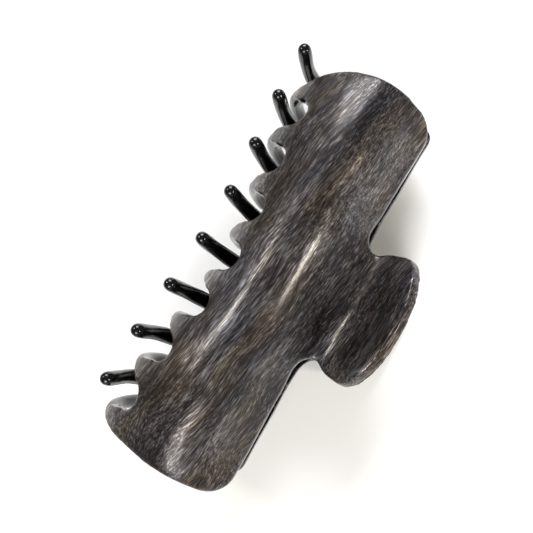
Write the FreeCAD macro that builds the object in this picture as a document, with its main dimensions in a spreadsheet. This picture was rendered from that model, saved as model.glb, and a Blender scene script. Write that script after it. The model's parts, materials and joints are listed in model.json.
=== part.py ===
import FreeCAD, Part
import math
import os

from FreeCAD import Placement, Rotation, Vector

# Claw clip lying on its back jaw.  +X runs along the hinge, +Y from the teeth to the handles,
# +Z from the floor through the back jaw and the front jaw.  Each piece is drawn about the hinge
# axis and then lifted to its place, so that the origin is under the middle of the clip.
# The two jaws are one moulding: the back jaw is the front jaw turned half round about Y.

DIMENSIONS = {
    "hinge_height": 19.14,      # hinge axis above the floor, half of the clip's depth
    "hinge_shift": 11.9,        # hinge axis from the middle of the clip, towards the handles
    "half_length": 52.4,        # hinge middle to a jaw's end beside its last tooth
    "plain_end": 49.4,          # hinge middle to a jaw's other end
    "wall": 2.4,                # thickness of a jaw's wall
    "belly_depth": 19.1,        # outer face of a jaw at its fullest
    "end_droop": 4.6,           # how far the ends of a jaw curve in
    "wing_top": -2.5,           # top edge of a jaw beside the handle
    "corner_round": 4.8,        # upper corners of a jaw
    "neck_half": 14.1,          # half width of the handle's neck
    "handle_half": 16.0,        # half width of the handle
    "handle_tilt": 50.0,        # slope of the handle against the middle plane
    "handle_level": 13.2,       # hinge to the handle's widest place, along its slope
    "handle_crown": 9.8,        # length of the handle's rounded end beyond that
    "tooth_count": 8,
    "pitch": 12.6,              # from tooth to tooth
    "tooth_offset": 3.3,        # teeth off the middle, so that the two rows pass each other
    "gap_round": 3.7,           # radius of the rounded top between two teeth
    "gap_top": 24.3,            # top of the middle gap, below the hinge
    "gap_arch": 4.4,            # how much lower the outer gaps start
    "lobe_bottom": 31.5,        # root of the middle teeth, below the hinge
    "lobe_arch": 4.8,           # how much lower the outer roots are
    "lobe_half": 2.0,           # half width of the wall where it ends in a tooth
    "arch_middle": 4.0,         # middle of the row of teeth
    "arch_half": 42.0,          # length over which the row arches to each side
    "tooth_root_wide": 4.2,
    "tooth_root_thick": 3.4,
    "tooth_tip": 3.3,           # diameter of a tooth's round tip
    "tooth_splay": 0.02,        # how far a tip stands further out than its pitch, as a share of its place
    "root_spread": 0.0009,      # the same for a root near the last tooth, by its place squared
    "pin_radius": 1.0,
    "pin_half": 11.9,           # hinge pin, middle to the inside of its head
    "pin_head_radius": 1.9,
    "pin_head": 0.8,
    "bore_clearance": 0.05,
    "ear_radius": 2.9,          # round end of a hinge ear
    "ear_wide": 2.0,
    "ear_inner": 8.3,           # hinge middle to an inner ear
    "ear_outer": 10.7,          # hinge middle to an outer ear
    "wire_radius": 0.6,
    "coil_radius": 2.75,        # middle of the spring wire round the pin
    "coil_turns": 8,
    "coil_pitch": 1.45,
    "leg_length": 9.5,          # straight spring leg along a handle's inner face
    "leg_angle": 58.0,          # leg from the middle plane
}

# cross-sections of the wall, as shares of half_length along the hinge
STATIONS = (-1.0, -0.86, -0.68, -0.50, -0.39, -0.28, -0.14, 0.0, 0.14, 0.28, 0.39, 0.50, 0.68, 0.86, 1.0)

# outer face above the belly, as Y and Z from the hinge axis: at the handle and beside it
HANDLE_PROFILE = ((16.4, 22.0), (7.5, 11.6), (1.2, 6.9), (-5.0, 11.6))
WING_PROFILE = ((16.4, 17.0), (7.5, 6.8), (1.0, 2.4), (-4.5, 7.2))
WING_START = 12.0
WING_END = 25.0

# outer face from the belly down: Y, how much lower it is at the outer teeth, and depth inside the belly
BELLY_PROFILE = ((-15.0, 0.0, 0.0), (-23.0, 3.0, 2.5), (-29.8, 4.8, 8.6), (-32.6, 4.9, 14.6))
WING_BELLY = 0.5

# sides of a jaw, as distance inside its end and Y: bottom corner, low side, widest place, high side
TOOTH_END = ((0.4, -31.6), (0.1, -26.5), (0.0, -17.5), (0.3, -7.4))
PLAIN_END = ((2.4, -28.6), (0.6, -23.5), (0.0, -17.5), (0.4, -6.9))
NECK_FOOT = 19.5

# middle line of a tooth in the wall: Y, how much lower it is at the outer teeth, depth inside the belly,
# and the shares of the root's width and thickness; then below the wall: Y, how much lower, and Z
TOOTH_IN_WALL = ((-22.5, 3.2, 4.1, 0.80, 0.50), (-28.5, 4.7, 9.1, 0.98, 0.72), (-31.1, 5.0, 14.9, 1.0, 1.0))
TOOTH_MIDDLE = (-33.3, 4.0, -4.0)
TOOTH_TIP = (-34.4, 2.5, -14.8)

# angles round a tooth's tip at which its round end is drawn
TIP_ANGLES = (25.0, 45.0, 63.0, 78.0)


def make_sheet(doc):
    """Put every driving dimension in a cell of its own, under its name."""
    sheet = doc.addObject("Spreadsheet::Sheet", "dims")
    for row, (name, value) in enumerate(DIMENSIONS.items(), start=1):
        sheet.set(f"A{row}", name)
        sheet.set(f"B{row}", str(value))
        sheet.setAlias(f"B{row}", name)
    doc.recompute()
    return sheet


def smooth_step(value, start, end):
    """0 below start, 1 above end, and a smooth rise between them."""
    share = min(max((value - start) / (end - start), 0.0), 1.0)
    return share * share * (3.0 - 2.0 * share)


def arch(sheet, x):
    """0 at the middle of the row of teeth, 1 at its ends."""
    share = min(abs(x - sheet.arch_middle) / sheet.arch_half, 1.0)
    return 0.5 - 0.5 * math.cos(math.pi * share)


def droop(sheet, x):
    """How far the jaw has curved in at x, as a share of its depth."""
    share = min(abs(x) / sheet.half_length, 1.0)
    return 1.0 - sheet.end_droop / sheet.belly_depth * share ** 5


def outer_points(sheet, x):
    """Outer face of a jaw in the plane at x, from the handle's edge down to the tooth roots."""
    wing = smooth_step(abs(x), WING_START, WING_END)
    points = []
    for (y_in, z_in), (y_out, z_out) in zip(HANDLE_PROFILE, WING_PROFILE):
        points.append(Vector(y_in + (y_out - y_in) * wing, z_in + (z_out - z_in) * wing, 0))
    for y, lower, inside in BELLY_PROFILE:
        if lower == 0.0:
            inside = WING_BELLY * wing
        points.append(Vector(y - lower * arch(sheet, x), (sheet.belly_depth - inside) * droop(sheet, x), 0))
    return points


def curve_through(points, tangents=None):
    """Smooth curve through points, with its ends free or in two given directions."""
    curve = Part.BSplineCurve()
    if tangents is None:
        curve.interpolate(points)
    else:
        curve.interpolate(Points=points, InitialTangent=tangents[0], FinalTangent=tangents[1])
    return curve


def inner_points(curve, points, wall):
    """The same points moved through the wall, square to the outer face."""
    moved = []
    for point in points:
        tangent = curve.tangent(curve.parameter(point))[0]
        moved.append(point + Vector(tangent.y, -tangent.x, 0).normalize() * -wall)
    return moved


def origin_plane(body, role):
    """One of a body's own origin planes."""
    return next(plane for plane in body.Origin.OriginFeatures if plane.Role == role)


def section_sketch(body, sheet, index, share):
    """Closed cross-section of a jaw's wall at one station along the hinge."""
    x = share * sheet.half_length
    sketch = body.newObject("Sketcher::SketchObject", f"section_{index + 1}")
    sketch.AttachmentSupport = (origin_plane(body, "YZ_Plane"), [""])
    sketch.MapMode = "FlatFace"
    sketch.setExpression("AttachmentOffset.Base.z", f"{share} * dims.half_length")
    points = outer_points(sheet, x)
    outer = curve_through(points)
    inside = inner_points(outer, points, sheet.wall)
    inner = curve_through(inside)
    sketch.addGeometry(outer)
    sketch.addGeometry(Part.LineSegment(points[-1], inside[-1]))
    sketch.addGeometry(inner)
    sketch.addGeometry(Part.LineSegment(inside[0], points[0]))
    return sketch


def tooth_pitch(sheet, index):
    """Even place of a tooth along the hinge, before its root and tip are spread."""
    return (index - 0.5 * (sheet.tooth_count - 1)) * sheet.pitch + sheet.tooth_offset


def tooth_root(sheet, index):
    """Where a tooth grows out of the wall, along the hinge."""
    x = tooth_pitch(sheet, index)
    return x + sheet.root_spread * max(x, 0.0) ** 2


def bottom_edges(sheet):
    """Edge of a jaw from its right tooth to its left: round tooth roots and round gaps between them."""
    edges = []
    half = sheet.lobe_half
    gap = sheet.gap_round
    last = int(sheet.tooth_count) - 1
    here = None
    for index in range(last, -1, -1):
        x = tooth_root(sheet, index)
        low = -sheet.lobe_bottom - sheet.lobe_arch * arch(sheet, x)
        side = Vector(x + half, low + half, 0)
        if index < last:
            edges.append(Part.LineSegment(here, side))
        here = Vector(x - half, low + half, 0)
        edges.append(Part.Arc(side, Vector(x, low, 0), here))
        if index > 0:
            gap_x = 0.5 * (x + tooth_root(sheet, index - 1))
            top = -sheet.gap_top - sheet.gap_arch * arch(sheet, gap_x)
            start = Vector(gap_x + gap, top - gap, 0)
            edges.append(Part.LineSegment(here, start))
            here = Vector(gap_x - gap, top - gap, 0)
            edges.append(Part.Arc(start, Vector(gap_x, top, 0), here))
    return edges


def neck_edges(sheet):
    """Sides of the handle's neck, from the left wing up, across above the handle and down again."""
    half = sheet.handle_half
    level = sheet.handle_level * math.cos(math.radians(sheet.handle_tilt)) - 1.5
    above = 30.0
    foot = Vector(NECK_FOOT, sheet.wing_top, 0)
    neck = Vector(sheet.neck_half, 1.4, 0)
    widest = Vector(half, level, 0)
    right = curve_through([widest, neck, foot], (Vector(0, -1, 0), Vector(1, 0, 0)))
    mirrored = [Vector(-p.x, p.y, 0) for p in (foot, neck, widest)]
    left = curve_through(mirrored, (Vector(1, 0, 0), Vector(0, 1, 0)))
    corners = [mirrored[-1], Vector(-half, above, 0), Vector(half, above, 0), widest]
    straight = [Part.LineSegment(start, end) for start, end in zip(corners, corners[1:])]
    return [left] + straight + [right]


def crown_waste(sheet):
    """What is cut away round the handle's rounded end, seen square to the handle."""
    half = sheet.handle_half
    level = sheet.handle_level
    beyond = 60.0
    crown = Part.Ellipse(Vector(0, level, 0), half, sheet.handle_crown)
    corners = [(half, level), (beyond, level), (beyond, beyond)]
    corners += [(-x, y) for x, y in reversed(corners)]
    corners = [Vector(x, y, 0) for x, y in corners]
    straight = [Part.LineSegment(start, end) for start, end in zip(corners, corners[1:])]
    return straight + [Part.ArcOfEllipse(crown, 0.0, math.pi)]


def end_edges(sheet, side, end, profile, tooth_side):
    """One end of a jaw, from the side of its outer tooth up to the wing's top edge."""
    corner, low, waist, high = [Vector(side * (end - inset), y, 0) for inset, y in profile]
    top = Vector(side * (end - sheet.corner_round), sheet.wing_top + 0.5, 0)
    share = math.sqrt(0.5)
    bend = Vector(top.x + (high.x - top.x) * share, high.y + (top.y - high.y) * share, 0)
    foot = Vector(side * NECK_FOOT, sheet.wing_top, 0)
    return [
        Part.Arc(tooth_side, corner, low),
        Part.Arc(low, waist, high),
        Part.Arc(high, bend, top),
        Part.LineSegment(top, foot),
    ]


def outline_edges(sheet):
    """Front outline of a jaw, seen square to the middle plane, all the way round."""
    bottom = bottom_edges(sheet)
    right = end_edges(sheet, 1, sheet.half_length, TOOTH_END, bottom[0].StartPoint)
    left = end_edges(sheet, -1, sheet.plain_end, PLAIN_END, bottom[-1].EndPoint)
    return neck_edges(sheet) + right + bottom + left


def rectangle(half_x, half_y):
    """Four sides of a rectangle about the origin."""
    corners = [Vector(x, y, 0) for x, y in ((1, 1), (-1, 1), (-1, -1), (1, -1))]
    corners = [Vector(c.x * half_x, c.y * half_y, 0) for c in corners]
    return [Part.LineSegment(corners[i], corners[(i + 1) % 4]) for i in range(4)]


def cut_through(body, name, edges, tilt):
    """Pocket right through a body, both ways, from a plane that is tilted about X."""
    before = body.Shape.Volume
    sketch = body.newObject("Sketcher::SketchObject", f"{name}_outline")
    sketch.AttachmentSupport = (origin_plane(body, "XY_Plane"), [""])
    sketch.MapMode = "FlatFace"
    sketch.AttachmentOffset = Placement(Vector(), Rotation(Vector(1, 0, 0), tilt))
    for edge in edges:
        sketch.addGeometry(edge)
    pocket = body.newObject("PartDesign::Pocket", name)
    pocket.Profile = sketch
    pocket.Type = "ThroughAll"
    pocket.Midplane = True
    body.Document.recompute()
    if not pocket.Shape.Volume < 0.99 * before:
        raise RuntimeError(f"{name} has cut nothing away")


def make_shell(doc, sheet):
    """Curved wall of a jaw with its handle: lofted along the hinge, then cut to its outline."""
    body = doc.addObject("PartDesign::Body", "jaw_shell")
    sections = [section_sketch(body, sheet, i, share) for i, share in enumerate(STATIONS)]
    loft = body.newObject("PartDesign::AdditiveLoft", "jaw_wall")
    loft.Profile = sections[0]
    loft.Sections = sections[1:]
    doc.recompute()
    cut_through(body, "jaw_trim", outline_edges(sheet) + rectangle(90.0, 70.0), 0.0)
    cut_through(body, "handle_crown", crown_waste(sheet), sheet.handle_tilt)
    return body


def tooth_stations(sheet, index):
    """Place, width and thickness at stations down a tooth, from inside the wall to its round tip."""
    x = tooth_root(sheet, index)
    tip_x = tooth_pitch(sheet, index) * (1.0 + sheet.tooth_splay)
    low = arch(sheet, x)
    wide = sheet.tooth_root_wide
    thick = sheet.tooth_root_thick
    tip = sheet.tooth_tip
    stations = []
    for y, lower, inside, width_share, thick_share in TOOTH_IN_WALL:
        place = Vector(x, y - lower * low, (sheet.belly_depth - inside) * droop(sheet, x))
        stations.append((place, width_share * wide, thick_share * thick))
    y, lower, z = TOOTH_MIDDLE
    stations.append((Vector(0.5 * (x + tip_x), y - lower * low, z), 0.5 * (wide + tip), 0.5 * (thick + tip)))
    y, lower, z = TOOTH_TIP
    stations.append((Vector(tip_x, y - lower * low, z), tip, tip))
    return stations


def make_ring(doc, name, place, along, wide, thick):
    """Ellipse across a tooth, square to the way the tooth runs."""
    ring = doc.addObject("Part::Ellipse", name)
    ring.MajorRadius = 0.5 * wide
    ring.MinorRadius = 0.5 * thick
    turn = math.degrees(math.atan2(-along.y, along.z))
    ring.Placement = Placement(place, Rotation(Vector(1, 0, 0), turn))
    return ring


def make_tooth(doc, sheet, index):
    """One tooth: a bar lofted through ellipses down its curved middle line to a round tip."""
    stations = tooth_stations(sheet, index)
    line = curve_through([place for place, _, _ in stations])
    stations = [(at, line.tangent(line.parameter(at))[0], wide, thick) for at, wide, thick in stations]
    end, along, tip, _ = stations[-1]
    for angle in TIP_ANGLES:
        turn = math.radians(angle)
        round_off = tip * math.cos(turn)
        stations.append((end + along * (0.5 * tip * math.sin(turn)), along, round_off, round_off))
    bar = doc.addObject("Part::Loft", f"tooth_{index + 1}")
    name = f"tooth_{index + 1}_ring"
    bar.Sections = [make_ring(doc, f"{name}_{n}", *station) for n, station in enumerate(stations)]
    bar.Solid = True
    return bar


def make_ears(doc, sheet):
    """Two ears that carry a jaw on the pin, each off the middle so that the other jaw's fit beside them."""
    body = doc.addObject("PartDesign::Body", "jaw_ears")
    radius = sheet.ear_radius
    left = Vector(-radius, 0, 0)
    right = Vector(radius, 0, 0)
    corners = [right, Vector(radius, 6.1, 0), Vector(1.2, 5.7, 0), Vector(-5.2, 9.6, 0), left]
    for name, place in (("inner", "dims.ear_inner"), ("outer", "-dims.ear_outer")):
        sketch = body.newObject("Sketcher::SketchObject", f"{name}_ear_outline")
        sketch.AttachmentSupport = (origin_plane(body, "YZ_Plane"), [""])
        sketch.MapMode = "FlatFace"
        sketch.setExpression("AttachmentOffset.Base.z", place)
        for start, end in zip(corners, corners[1:]):
            sketch.addGeometry(Part.LineSegment(start, end))
        sketch.addGeometry(Part.Arc(left, Vector(0, -radius, 0), right))
        pad = body.newObject("PartDesign::Pad", f"{name}_ear")
        pad.Profile = sketch
        pad.Midplane = True
        pad.setExpression("Length", "dims.ear_wide")
    return body


def make_bore(doc):
    """Running bore for the pin through both ears of a jaw."""
    bore = doc.addObject("Part::Cylinder", "ear_bore")
    bore.setExpression("Radius", "dims.pin_radius + dims.bore_clearance")
    bore.setExpression("Height", "2 * dims.pin_half")
    bore.setExpression("Placement.Base.x", "-dims.pin_half")
    bore.Placement.Rotation = Rotation(Vector(0, 1, 0), 90)
    return bore


def lift_to_hinge(piece, rotation=Rotation()):
    """Turn a piece drawn about the hinge axis or the origin, and move it to the hinge's place."""
    piece.Placement = Placement(Vector(), rotation)
    piece.setExpression("Placement.Base.y", "dims.hinge_shift")
    piece.setExpression("Placement.Base.z", "dims.hinge_height")
    return piece


def make_jaw(doc, name, solids, bore, rotation):
    """One jaw: shell, teeth and ears in one moulding, bored for the pin."""
    blank = doc.addObject("Part::MultiFuse", f"{name}_blank")
    blank.Shapes = solids
    jaw = doc.addObject("Part::Cut", name)
    jaw.Base = blank
    jaw.Tool = bore
    jaw.Label = name
    return lift_to_hinge(jaw, rotation)


def make_pin(doc, sheet):
    """Hinge pin: a rod with a domed rivet head at each end."""
    body = doc.addObject("PartDesign::Body", "hinge_pin")
    half = sheet.pin_half
    radius = sheet.pin_radius
    head = sheet.pin_head_radius
    crown = half + sheet.pin_head
    sketch = body.newObject("Sketcher::SketchObject", "pin_outline")
    sketch.AttachmentSupport = (origin_plane(body, "XY_Plane"), [""])
    sketch.MapMode = "FlatFace"
    corners = [(-half, head), (-half, radius), (half, radius), (half, head)]
    corners = [Vector(x, y, 0) for x, y in corners]
    for start, end in zip(corners, corners[1:]):
        sketch.addGeometry(Part.LineSegment(start, end))
    for side in (1, -1):
        flat = Vector(side * crown, 0.5 * head, 0)
        middle = Vector(side * (half + 0.72 * sheet.pin_head), 0.85 * head, 0)
        sketch.addGeometry(Part.Arc(Vector(side * half, head, 0), middle, flat))
        sketch.addGeometry(Part.LineSegment(flat, Vector(side * crown, 0, 0)))
    sketch.addGeometry(Part.LineSegment(Vector(crown, 0, 0), Vector(-crown, 0, 0)))
    turned = body.newObject("PartDesign::Revolution", "pin_turned")
    turned.Profile = sketch
    turned.ReferenceAxis = (sketch, ["H_Axis"])
    turned.Angle = 360
    return lift_to_hinge(body)


def make_spring(doc, sheet):
    """Torsion spring, drawn about Z: a coil round the pin, and a straight leg inside each handle."""
    radius = sheet.coil_radius
    rise = sheet.coil_pitch / (2 * math.pi * radius)
    start = math.radians(90 - sheet.leg_angle)
    turns = sheet.coil_turns - 2 * start / (2 * math.pi)
    height = turns * sheet.coil_pitch
    coil = Part.makeHelix(sheet.coil_pitch, height, radius)
    coil.rotate(Vector(), Vector(0, 0, 1), math.degrees(start))
    coil.translate(Vector(0, 0, -0.5 * height))
    legs = []
    for side in (-1, 1):
        root = Vector(radius * math.cos(start), -side * radius * math.sin(start), side * 0.5 * height)
        along = Vector(math.sin(start), side * math.cos(start), side * rise).normalize()
        legs.append((root, root + along * sheet.leg_length))
    path = Part.Wire([Part.LineSegment(legs[0][1], legs[0][0]).toShape()] + coil.Edges
                     + [Part.LineSegment(legs[1][0], legs[1][1]).toShape()])
    ring = Part.Circle(legs[0][1], legs[0][0] - legs[0][1], sheet.wire_radius)
    sweep = Part.BRepOffsetAPI.MakePipeShell(path)
    sweep.setBiNormalMode(Vector(0, 0, 1))
    sweep.add(Part.Wire([ring.toShape()]))
    sweep.build()
    sweep.makeSolid()
    spring = doc.addObject("Part::Feature", "torsion_spring")
    spring.Shape = sweep.shape()
    return lift_to_hinge(spring, Rotation(Vector(1, 1, 1), 120))


def main():
    doc = FreeCAD.newDocument("claw_clip")
    sheet = make_sheet(doc)
    solids = [make_shell(doc, sheet), make_ears(doc, sheet)]
    for index in range(int(sheet.tooth_count)):
        solids.append(make_tooth(doc, sheet, index))
    bore = make_bore(doc)
    pieces = [
        make_jaw(doc, "front_jaw", solids, bore, Rotation()),
        make_jaw(doc, "rear_jaw", solids, bore, Rotation(Vector(0, 1, 0), 180)),
        make_pin(doc, sheet),
        make_spring(doc, sheet),
    ]
    doc.recompute()
    for item in doc.Objects:
        if {"Invalid", "Error"} & set(item.State):
            raise RuntimeError(f"{item.Name} has failed")
    os.makedirs("parts", exist_ok=True)
    for piece in pieces:
        if piece.Shape.isNull() or not piece.Shape.isValid() or len(piece.Shape.Solids) != 1:
            raise RuntimeError(f"{piece.Label} is not one valid solid")
        piece.Shape.exportStep(f"parts/{piece.Label}.step")


main()
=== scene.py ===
import json
import math

import bpy
import bmesh
import numpy as np
from mathutils import Euler, Matrix, Vector


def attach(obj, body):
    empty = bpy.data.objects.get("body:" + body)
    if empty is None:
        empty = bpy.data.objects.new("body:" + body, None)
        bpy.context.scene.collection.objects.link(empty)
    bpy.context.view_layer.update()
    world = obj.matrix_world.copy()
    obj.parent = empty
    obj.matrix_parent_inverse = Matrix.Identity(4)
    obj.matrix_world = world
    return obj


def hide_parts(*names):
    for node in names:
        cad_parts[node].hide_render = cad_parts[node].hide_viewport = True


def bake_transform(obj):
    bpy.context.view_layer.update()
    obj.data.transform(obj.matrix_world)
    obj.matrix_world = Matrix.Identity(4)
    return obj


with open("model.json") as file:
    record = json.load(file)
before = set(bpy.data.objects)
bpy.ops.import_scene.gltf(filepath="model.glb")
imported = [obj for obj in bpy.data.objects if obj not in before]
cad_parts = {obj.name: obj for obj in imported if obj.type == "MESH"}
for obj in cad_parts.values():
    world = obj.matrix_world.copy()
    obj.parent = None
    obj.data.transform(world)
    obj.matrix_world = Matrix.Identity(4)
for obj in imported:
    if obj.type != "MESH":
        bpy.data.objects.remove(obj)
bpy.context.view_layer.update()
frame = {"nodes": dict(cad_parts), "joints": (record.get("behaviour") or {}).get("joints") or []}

MM = 0.001
HINGE = Vector(frame["joints"][0]["pos_m"])

CAMERA_FROM_HINGE = Vector((11.7, 14.6, 142.3)) * MM
CAMERA_TURN = (14.3, -4.45, -0.14)      # turn of the view about X, Y and Z with the handles up, in degrees
CAMERA_ROLL = 120.3                     # then rolled, so that the handles point down to the right
FLOOR_HALF = 3.0

FILM_FADES = (0.12, 0.42)               # how far a face looks outwards where the film starts and is full
FILM_SLANT = math.radians(10.0)         # strokes run down from the hinge's direction by this much

VOXEL = 0.40 * MM                       # even mesh of the jaws
ROUNDING = 9                            # smoothing rounds that round the wall's edges
TEETH_BELOW = 24 * MM                   # the teeth start this far from the hinge axis
TEETH_HEIGHTS = (2.0 * MM, 6.0 * MM)    # and are smoothed less and less between these heights


# ---------- camera, light and floor ----------

def place_camera():
    """Camera close over the front jaw, turned so that the handles point down to the right."""
    camera = bpy.data.objects.new("camera", bpy.data.cameras.new("camera"))
    bpy.context.scene.collection.objects.link(camera)
    camera.data.sensor_width = 36.0
    camera.data.lens = 39.6
    camera.data.clip_start = 0.01
    upright = Euler([math.radians(angle) for angle in CAMERA_TURN], "XYZ").to_matrix().transposed()
    roll = Matrix.Rotation(math.radians(CAMERA_ROLL), 3, "Z")
    turn = (upright @ roll).to_4x4()
    camera.matrix_world = Matrix.Translation(HINGE + CAMERA_FROM_HINGE) @ turn
    bpy.context.scene.camera = camera


def lamp(name, azimuth, elevation, distance, size, power, colour):
    """Soft rectangular lamp aimed at the clip from a direction: azimuth from +X towards +Y, in degrees."""
    light = bpy.data.lights.new(name, "AREA")
    light.shape = "RECTANGLE"
    light.size, light.size_y = size
    light.energy = power
    light.color = colour
    holder = bpy.data.objects.new(name, light)
    bpy.context.scene.collection.objects.link(holder)
    across, up = math.radians(azimuth), math.radians(elevation)
    way = Vector((math.cos(up) * math.cos(across), math.cos(up) * math.sin(across), math.sin(up)))
    holder.location = HINGE + way * distance
    holder.rotation_euler = way.to_track_quat("Z", "Y").to_euler()


def set_stage():
    """Pale floor, pale surroundings and soft lamps."""
    mesh = bpy.data.meshes.new("floor")
    half = FLOOR_HALF
    corners = [(-half, -half, 0), (half, -half, 0), (half, half, 0), (-half, half, 0)]
    mesh.from_pydata(corners, [], [(0, 1, 2, 3)])
    floor = bpy.data.objects.new("floor", mesh)
    bpy.context.scene.collection.objects.link(floor)
    material = bpy.data.materials.new("floor_white")
    material.use_nodes = True
    shader = material.node_tree.nodes["Principled BSDF"]
    shader.inputs["Base Color"].default_value = (0.93, 0.93, 0.93, 1)
    shader.inputs["Roughness"].default_value = 0.9
    shader.inputs["Specular IOR Level"].default_value = 0.1
    mesh.materials.append(material)
    world = bpy.data.worlds.new("studio")
    world.use_nodes = True
    world.node_tree.nodes["Background"].inputs["Color"].default_value = (1.0, 1.0, 1.0, 1)
    world.node_tree.nodes["Background"].inputs["Strength"].default_value = 0.16
    bpy.context.scene.world = world
    bpy.context.scene.view_settings.view_transform = "Standard"
    # two wide lamps light the floor and the jaws, two narrow ones give the highlights on the film
    lamp("left_wide", -152, 38, 0.95, (0.50, 0.50), 9.0, (0.96, 0.97, 1.0))
    lamp("right_wide", 22, 40, 0.95, (0.50, 0.50), 8.0, (1.0, 0.98, 0.95))
    lamp("handle_side", 98, 29, 0.60, (0.08, 0.06), 1.6, (1.0, 0.93, 0.80))
    lamp("teeth_side", -86, 44, 0.60, (0.08, 0.06), 1.0, (1.0, 0.95, 0.86))


# ---------- materials ----------

class Nodes:
    """Short ways to add shader nodes to one material."""

    def __init__(self, name):
        self.material = bpy.data.materials.new(name)
        self.material.use_nodes = True
        self.tree = self.material.node_tree
        self.shader = self.tree.nodes["Principled BSDF"]

    def add(self, kind, **settings):
        node = self.tree.nodes.new(kind)
        for key, value in settings.items():
            setattr(node, key, value)
        return node

    def link(self, out, into):
        self.tree.links.new(out, into)

    def put(self, socket, value):
        """Link value to socket if it is a socket, or set it."""
        if isinstance(value, bpy.types.NodeSocket):
            self.link(value, socket)
        else:
            socket.default_value = value

    def math(self, operation, a, b=0.0, clamp=False):
        node = self.add("ShaderNodeMath", operation=operation, use_clamp=clamp)
        self.put(node.inputs[0], a)
        self.put(node.inputs[1], b)
        return node.outputs[0]

    def spread(self, value, low, high, to_low=0.0, to_high=1.0):
        """Map value from low-high to new limits, smoothly and clamped."""
        node = self.add("ShaderNodeMapRange", interpolation_type="SMOOTHSTEP")
        for socket, item in zip(node.inputs[:5], (value, low, high, to_low, to_high)):
            self.put(socket, item)
        return node.outputs[0]

    def noise(self, vector, scale, detail=2.0, roughness=0.5):
        node = self.add("ShaderNodeTexNoise")
        self.put(node.inputs["Vector"], vector)
        node.inputs["Scale"].default_value = scale
        node.inputs["Detail"].default_value = detail
        node.inputs["Roughness"].default_value = roughness
        return node.outputs["Fac"]

    def mapped(self, vector, scale=(1, 1, 1), rotation=(0, 0, 0), location=(0, 0, 0)):
        node = self.add("ShaderNodeMapping")
        self.put(node.inputs["Vector"], vector)
        node.inputs["Scale"].default_value = scale
        node.inputs["Rotation"].default_value = rotation
        node.inputs["Location"].default_value = location
        return node.outputs["Vector"]

    def mix(self, share, a, b, blend="MIX"):
        node = self.add("ShaderNodeMix", data_type="RGBA", blend_type=blend)
        self.put(node.inputs["Factor"], share)
        self.put(node.inputs[6], a)
        self.put(node.inputs[7], b)
        return node.outputs[2]

    def ramp(self, value, stops):
        node = self.add("ShaderNodeValToRGB")
        self.put(node.inputs["Fac"], value)
        band = node.color_ramp
        while len(band.elements) < len(stops):
            band.elements.new(0.5)
        for element, (position, colour) in zip(band.elements, stops):
            element.position = position
            element.color = (*colour, 1)
        return node.outputs["Color"]

    def bump(self, height, strength, distance):
        node = self.add("ShaderNodeBump")
        node.inputs["Strength"].default_value = strength
        node.inputs["Distance"].default_value = distance
        self.put(node.inputs["Height"], height)
        return node.outputs["Normal"]


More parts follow.
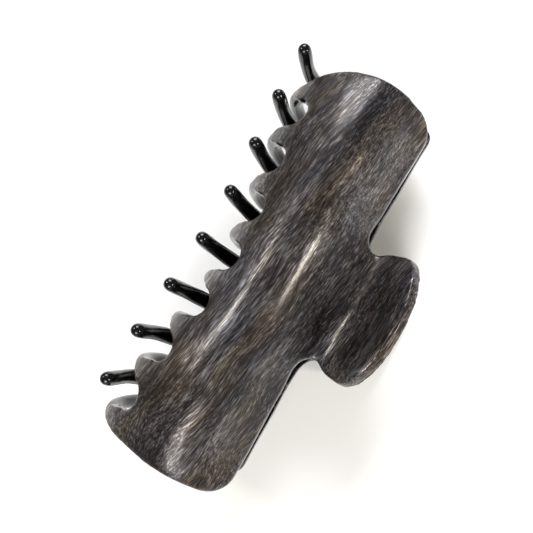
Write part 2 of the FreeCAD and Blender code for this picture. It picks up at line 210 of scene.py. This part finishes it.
def jaw_material(name, slant, seed):
    """Gloss black moulding whose outer face carries a streaked brown-grey and silver film."""
    n = Nodes(name)
    place = n.add("ShaderNodeTexCoord").outputs["Object"]
    film = n.add("ShaderNodeAttribute", attribute_name="film").outputs["Fac"]
    flow = n.mapped(place, rotation=(0, 0, slant), location=(seed, seed, 0))
    # the strokes wander a little from a straight line
    wander = n.add("ShaderNodeTexNoise")
    n.put(wander.inputs["Vector"], flow)
    wander.inputs["Scale"].default_value = 55.0
    wander.inputs["Detail"].default_value = 1.0
    shift = n.add("ShaderNodeVectorMath", operation="MULTIPLY_ADD")
    n.link(wander.outputs["Color"], shift.inputs[0])
    shift.inputs[1].default_value = (0.0, 0.0036, 0.0036)
    n.link(flow, shift.inputs[2])
    strokes = shift.outputs[0]
    hair = n.noise(n.mapped(strokes, scale=(260, 3000, 3000)), 1.0, detail=2.0, roughness=0.6)
    fine = n.noise(n.mapped(strokes, scale=(520, 6500, 6500), location=(3, 1, 2)), 1.0, detail=1.0)
    band = n.noise(n.mapped(strokes, scale=(90, 900, 900), location=(1, 5, 2)), 1.0, detail=2.0)
    patch = n.noise(n.mapped(strokes, scale=(60, 110, 110), location=(4, 4, 4)), 1.0, detail=1.0)
    tint = n.noise(n.mapped(strokes, scale=(45, 160, 160), location=(8, 2, 6)), 1.0, detail=1.0)
    streak = n.math("ADD", n.math("MULTIPLY", hair, 0.60), n.math("MULTIPLY", fine, 0.40))
    streak = n.math("ADD", streak, n.math("MULTIPLY", n.math("SUBTRACT", band, 0.5), 0.30))
    streak = n.math("ADD", streak, n.math("MULTIPLY", n.math("SUBTRACT", patch, 0.5), 0.28))
    tone = n.ramp(streak, [
        (0.36, (0.006, 0.0045, 0.0045)),
        (0.45, (0.022, 0.017, 0.0165)),
        (0.52, (0.052, 0.043, 0.041)),
        (0.60, (0.120, 0.108, 0.104)),
        (0.72, (0.300, 0.285, 0.275)),
    ])
    cool = n.mix(n.spread(tint, 0.50, 0.66), tone, (0.80, 0.86, 1.0, 1), "MULTIPLY")
    coloured = n.mix(n.spread(tint, 0.46, 0.34), cool, (1.0, 0.93, 0.78, 1), "MULTIPLY")
    colour = n.mix(n.spread(film, 0.35, 0.75), (0.004, 0.004, 0.0045, 1), coloured)
    n.put(n.shader.inputs["Base Color"], colour)
    n.put(n.shader.inputs["Metallic"], n.math("MULTIPLY", n.spread(film, 0.35, 0.75), 0.55))
    rough = n.spread(streak, 0.35, 0.70, 0.46, 0.32)
    smear = n.noise(n.mapped(place, scale=(160, 160, 160)), 1.0, detail=3.0)
    plain = n.spread(smear, 0.3, 0.7, 0.10, 0.20)
    blend = n.add("ShaderNodeMix", data_type="FLOAT")
    n.put(blend.inputs[0], film)
    n.put(blend.inputs[2], plain)
    n.put(blend.inputs[3], rough)
    n.put(n.shader.inputs["Roughness"], blend.outputs[0])
    n.shader.inputs["Specular IOR Level"].default_value = 0.30
    n.shader.inputs["Coat Weight"].default_value = 0.25
    n.shader.inputs["Coat Roughness"].default_value = 0.16
    relief = n.math("MULTIPLY", n.math("SUBTRACT", hair, 0.5), film)
    sink = n.noise(n.mapped(place, scale=(70, 70, 70)), 1.0, detail=1.0)
    height = n.math("ADD", n.math("MULTIPLY", relief, 0.05), n.math("MULTIPLY", sink, 0.35))
    n.put(n.shader.inputs["Normal"], n.bump(height, 0.35, 0.0004))
    return n.material


def steel_material(name, tone, draw_scale):
    """Drawn steel with fine lines along the wire and faint darker spots."""
    n = Nodes(name)
    place = n.add("ShaderNodeTexCoord").outputs["Object"]
    lines = n.noise(n.mapped(place, scale=draw_scale), 1.0, detail=2.0)
    spots = n.noise(n.mapped(place, scale=(500, 500, 500)), 1.0, detail=3.0)
    worn = n.math("ADD", n.math("MULTIPLY", lines, 0.6), n.math("MULTIPLY", spots, 0.4))
    dark = tuple(0.55 * c for c in tone)
    n.put(n.shader.inputs["Base Color"], n.ramp(worn, [(0.35, dark), (0.60, tone)]))
    n.shader.inputs["Metallic"].default_value = 1.0
    n.put(n.shader.inputs["Roughness"], n.spread(worn, 0.3, 0.7, 0.38, 0.22))
    n.put(n.shader.inputs["Normal"], n.bump(worn, 0.2, 0.00005))
    return n.material


# ---------- the two jaws ----------

def settled(piece):
    """The piece's mesh with its modifiers worked out."""
    shown = piece.evaluated_get(bpy.context.evaluated_depsgraph_get())
    mesh = bpy.data.meshes.new_from_object(shown)
    piece.modifiers.clear()
    piece.data = mesh
    return mesh


def rounded_copy(node, name, outward):
    """The node's shape as one even mesh: the wall's sharp edges rounded, the slim teeth hardly changed."""
    source = frame["nodes"][node]
    piece = bpy.data.objects.new(name, source.data.copy())
    piece.data.materials.clear()
    bpy.context.scene.collection.objects.link(piece)
    remesh = piece.modifiers.new("even", "REMESH")
    remesh.mode = "VOXEL"
    remesh.voxel_size = VOXEL
    remesh.adaptivity = 0.0
    mesh = settled(piece)
    places = vertex_places(mesh)
    low, high = TEETH_HEIGHTS
    wall = np.clip(((places[:, 2] - HINGE.z) * outward - low) / (high - low), 0.0, 1.0)
    wall[places[:, 1] > HINGE.y - TEETH_BELOW] = 1.0
    group = piece.vertex_groups.new(name="wall")
    steps = 5
    for step in range(steps):
        chosen = np.flatnonzero(np.round(wall * (steps - 1)) == step)
        group.add(chosen.tolist(), (step + 1) / steps, "REPLACE")
    soften = piece.modifiers.new("soften", "SMOOTH")
    soften.factor = 0.5
    soften.iterations = ROUNDING
    soften.vertex_group = "wall"
    mesh = settled(piece)
    mesh.name = name
    mesh.shade_smooth()
    return piece


def vertex_places(mesh):
    """Vertex coordinates as an array."""
    places = np.empty(len(mesh.vertices) * 3, dtype=np.float32)
    mesh.vertices.foreach_get("co", places)
    return places.reshape(-1, 3)


def mark_film(piece, outward):
    """Store where the printed film lies: faces that look out of the clip, fading at their edges."""
    mesh = piece.data
    count = len(mesh.vertices)
    normals = np.empty(count * 3, dtype=np.float32)
    mesh.vertex_normals.foreach_get("vector", normals)
    facing = normals.reshape(-1, 3)[:, 2] * outward
    start, full = FILM_FADES
    share = np.clip((facing - start) / (full - start), 0.0, 1.0)
    layer = mesh.attributes.new("film", "FLOAT", "POINT")
    layer.data.foreach_set("value", (share * share * (3 - 2 * share)).astype(np.float32))


def build_jaw(node, body, outward, slant, seed):
    """A jaw with rounded edges in place of its CAD node."""
    piece = rounded_copy(node, f"{node}_moulding", outward)
    mark_film(piece, outward)
    piece.data.materials.append(jaw_material(f"{node}_film", slant, seed))
    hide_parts(node)
    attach(piece, body)


# ---------- the torsion spring ----------

COIL_RADIUS = 2.75 * MM
WIRE_RADIUS = 0.6 * MM
COIL_PITCH = 1.45 * MM
COIL_TURNS = 8
LEG_LENGTH = 9.5 * MM
LEG_STEPS = 12
COIL_STEPS = 320
LEG_START = math.radians(90 - 58)      # where a leg leaves the coil, round from +Y
END_ANGLES = (0.45, 0.95, 1.35)        # rings of the wire's rounded ends


def leg_line(side, turn, rise):
    """Points along one straight leg, out from the coil's end at that side."""
    root = Vector((side * 0.5 * turn * rise, COIL_RADIUS * math.cos(LEG_START),
                   -side * COIL_RADIUS * math.sin(LEG_START)))
    along = Vector((side * rise / COIL_RADIUS, math.sin(LEG_START), side * math.cos(LEG_START)))
    along.normalize()
    return [root + along * (LEG_LENGTH * k / LEG_STEPS) for k in range(1, LEG_STEPS + 1)]


def spring_line():
    """Points along the wire: rear leg, coil from -X to +X, front leg."""
    turn = 2 * math.pi * COIL_TURNS - 2 * LEG_START
    rise = COIL_PITCH / (2 * math.pi)
    points = leg_line(-1, turn, rise)[::-1]
    for k in range(COIL_STEPS + 1):
        angle = LEG_START + turn * k / COIL_STEPS
        x = (k / COIL_STEPS - 0.5) * turn * rise
        points.append(Vector((x, COIL_RADIUS * math.cos(angle), COIL_RADIUS * math.sin(angle))))
    points += leg_line(1, turn, rise)
    return [HINGE + point for point in points]


def tube_mesh(name, points, radius, sides):
    """Round wire along points, with rounded ends."""
    bm = bmesh.new()
    rings = []
    last = len(points) - 1
    tangents = [(points[min(i + 1, last)] - points[max(i - 1, 0)]).normalized() for i in range(last + 1)]
    ends = [(radius * math.sin(angle), math.cos(angle)) for angle in END_ANGLES]
    stops = [(points[0] - tangents[0] * out, tangents[0], size) for out, size in reversed(ends)]
    stops += [(point, tangent, 1.0) for point, tangent in zip(points, tangents)]
    stops += [(points[-1] + tangents[-1] * out, tangents[-1], size) for out, size in ends]
    for place, tangent, size in stops:
        across = tangent.cross(Vector((1, 0, 0))).normalized()
        other = tangent.cross(across)
        ring = []
        for k in range(sides):
            angle = 2 * math.pi * k / sides
            spoke = across * math.cos(angle) + other * math.sin(angle)
            ring.append(bm.verts.new(place + spoke * radius * size))
        rings.append(ring)
    for ring, following in zip(rings, rings[1:]):
        for k in range(sides):
            n = (k + 1) % sides
            bm.faces.new((ring[k], ring[n], following[n], following[k]))
    bm.faces.new(rings[0][::-1])
    bm.faces.new(rings[-1])
    bmesh.ops.recalc_face_normals(bm, faces=bm.faces)
    mesh = bpy.data.meshes.new(name)
    bm.to_mesh(mesh)
    bm.free()
    mesh.shade_smooth()
    return mesh


def build_spring():
    """Steel spring coiled round the hinge: one leg on each handle."""
    mesh = tube_mesh("spring_wire", spring_line(), WIRE_RADIUS, 16)
    piece = bpy.data.objects.new("spring_wire", mesh)
    bpy.context.scene.collection.objects.link(piece)
    piece.data.materials.append(steel_material("spring_steel_wire", (0.62, 0.61, 0.59), (900, 900, 900)))
    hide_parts("torsion_spring")
    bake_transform(piece)


def finish_pin():
    """The hinge pin keeps its CAD shape and gets drawn steel."""
    pin = frame["nodes"]["hinge_pin"]
    pin.data.materials.clear()
    pin.data.materials.append(steel_material("pin_steel", (0.55, 0.54, 0.52), (300, 2500, 2500)))


place_camera()
set_stage()
build_jaw("front_jaw", "front", 1.0, FILM_SLANT, 0.0)
build_jaw("rear_jaw", "rear", -1.0, -FILM_SLANT, 0.7)
build_spring()
finish_pin()
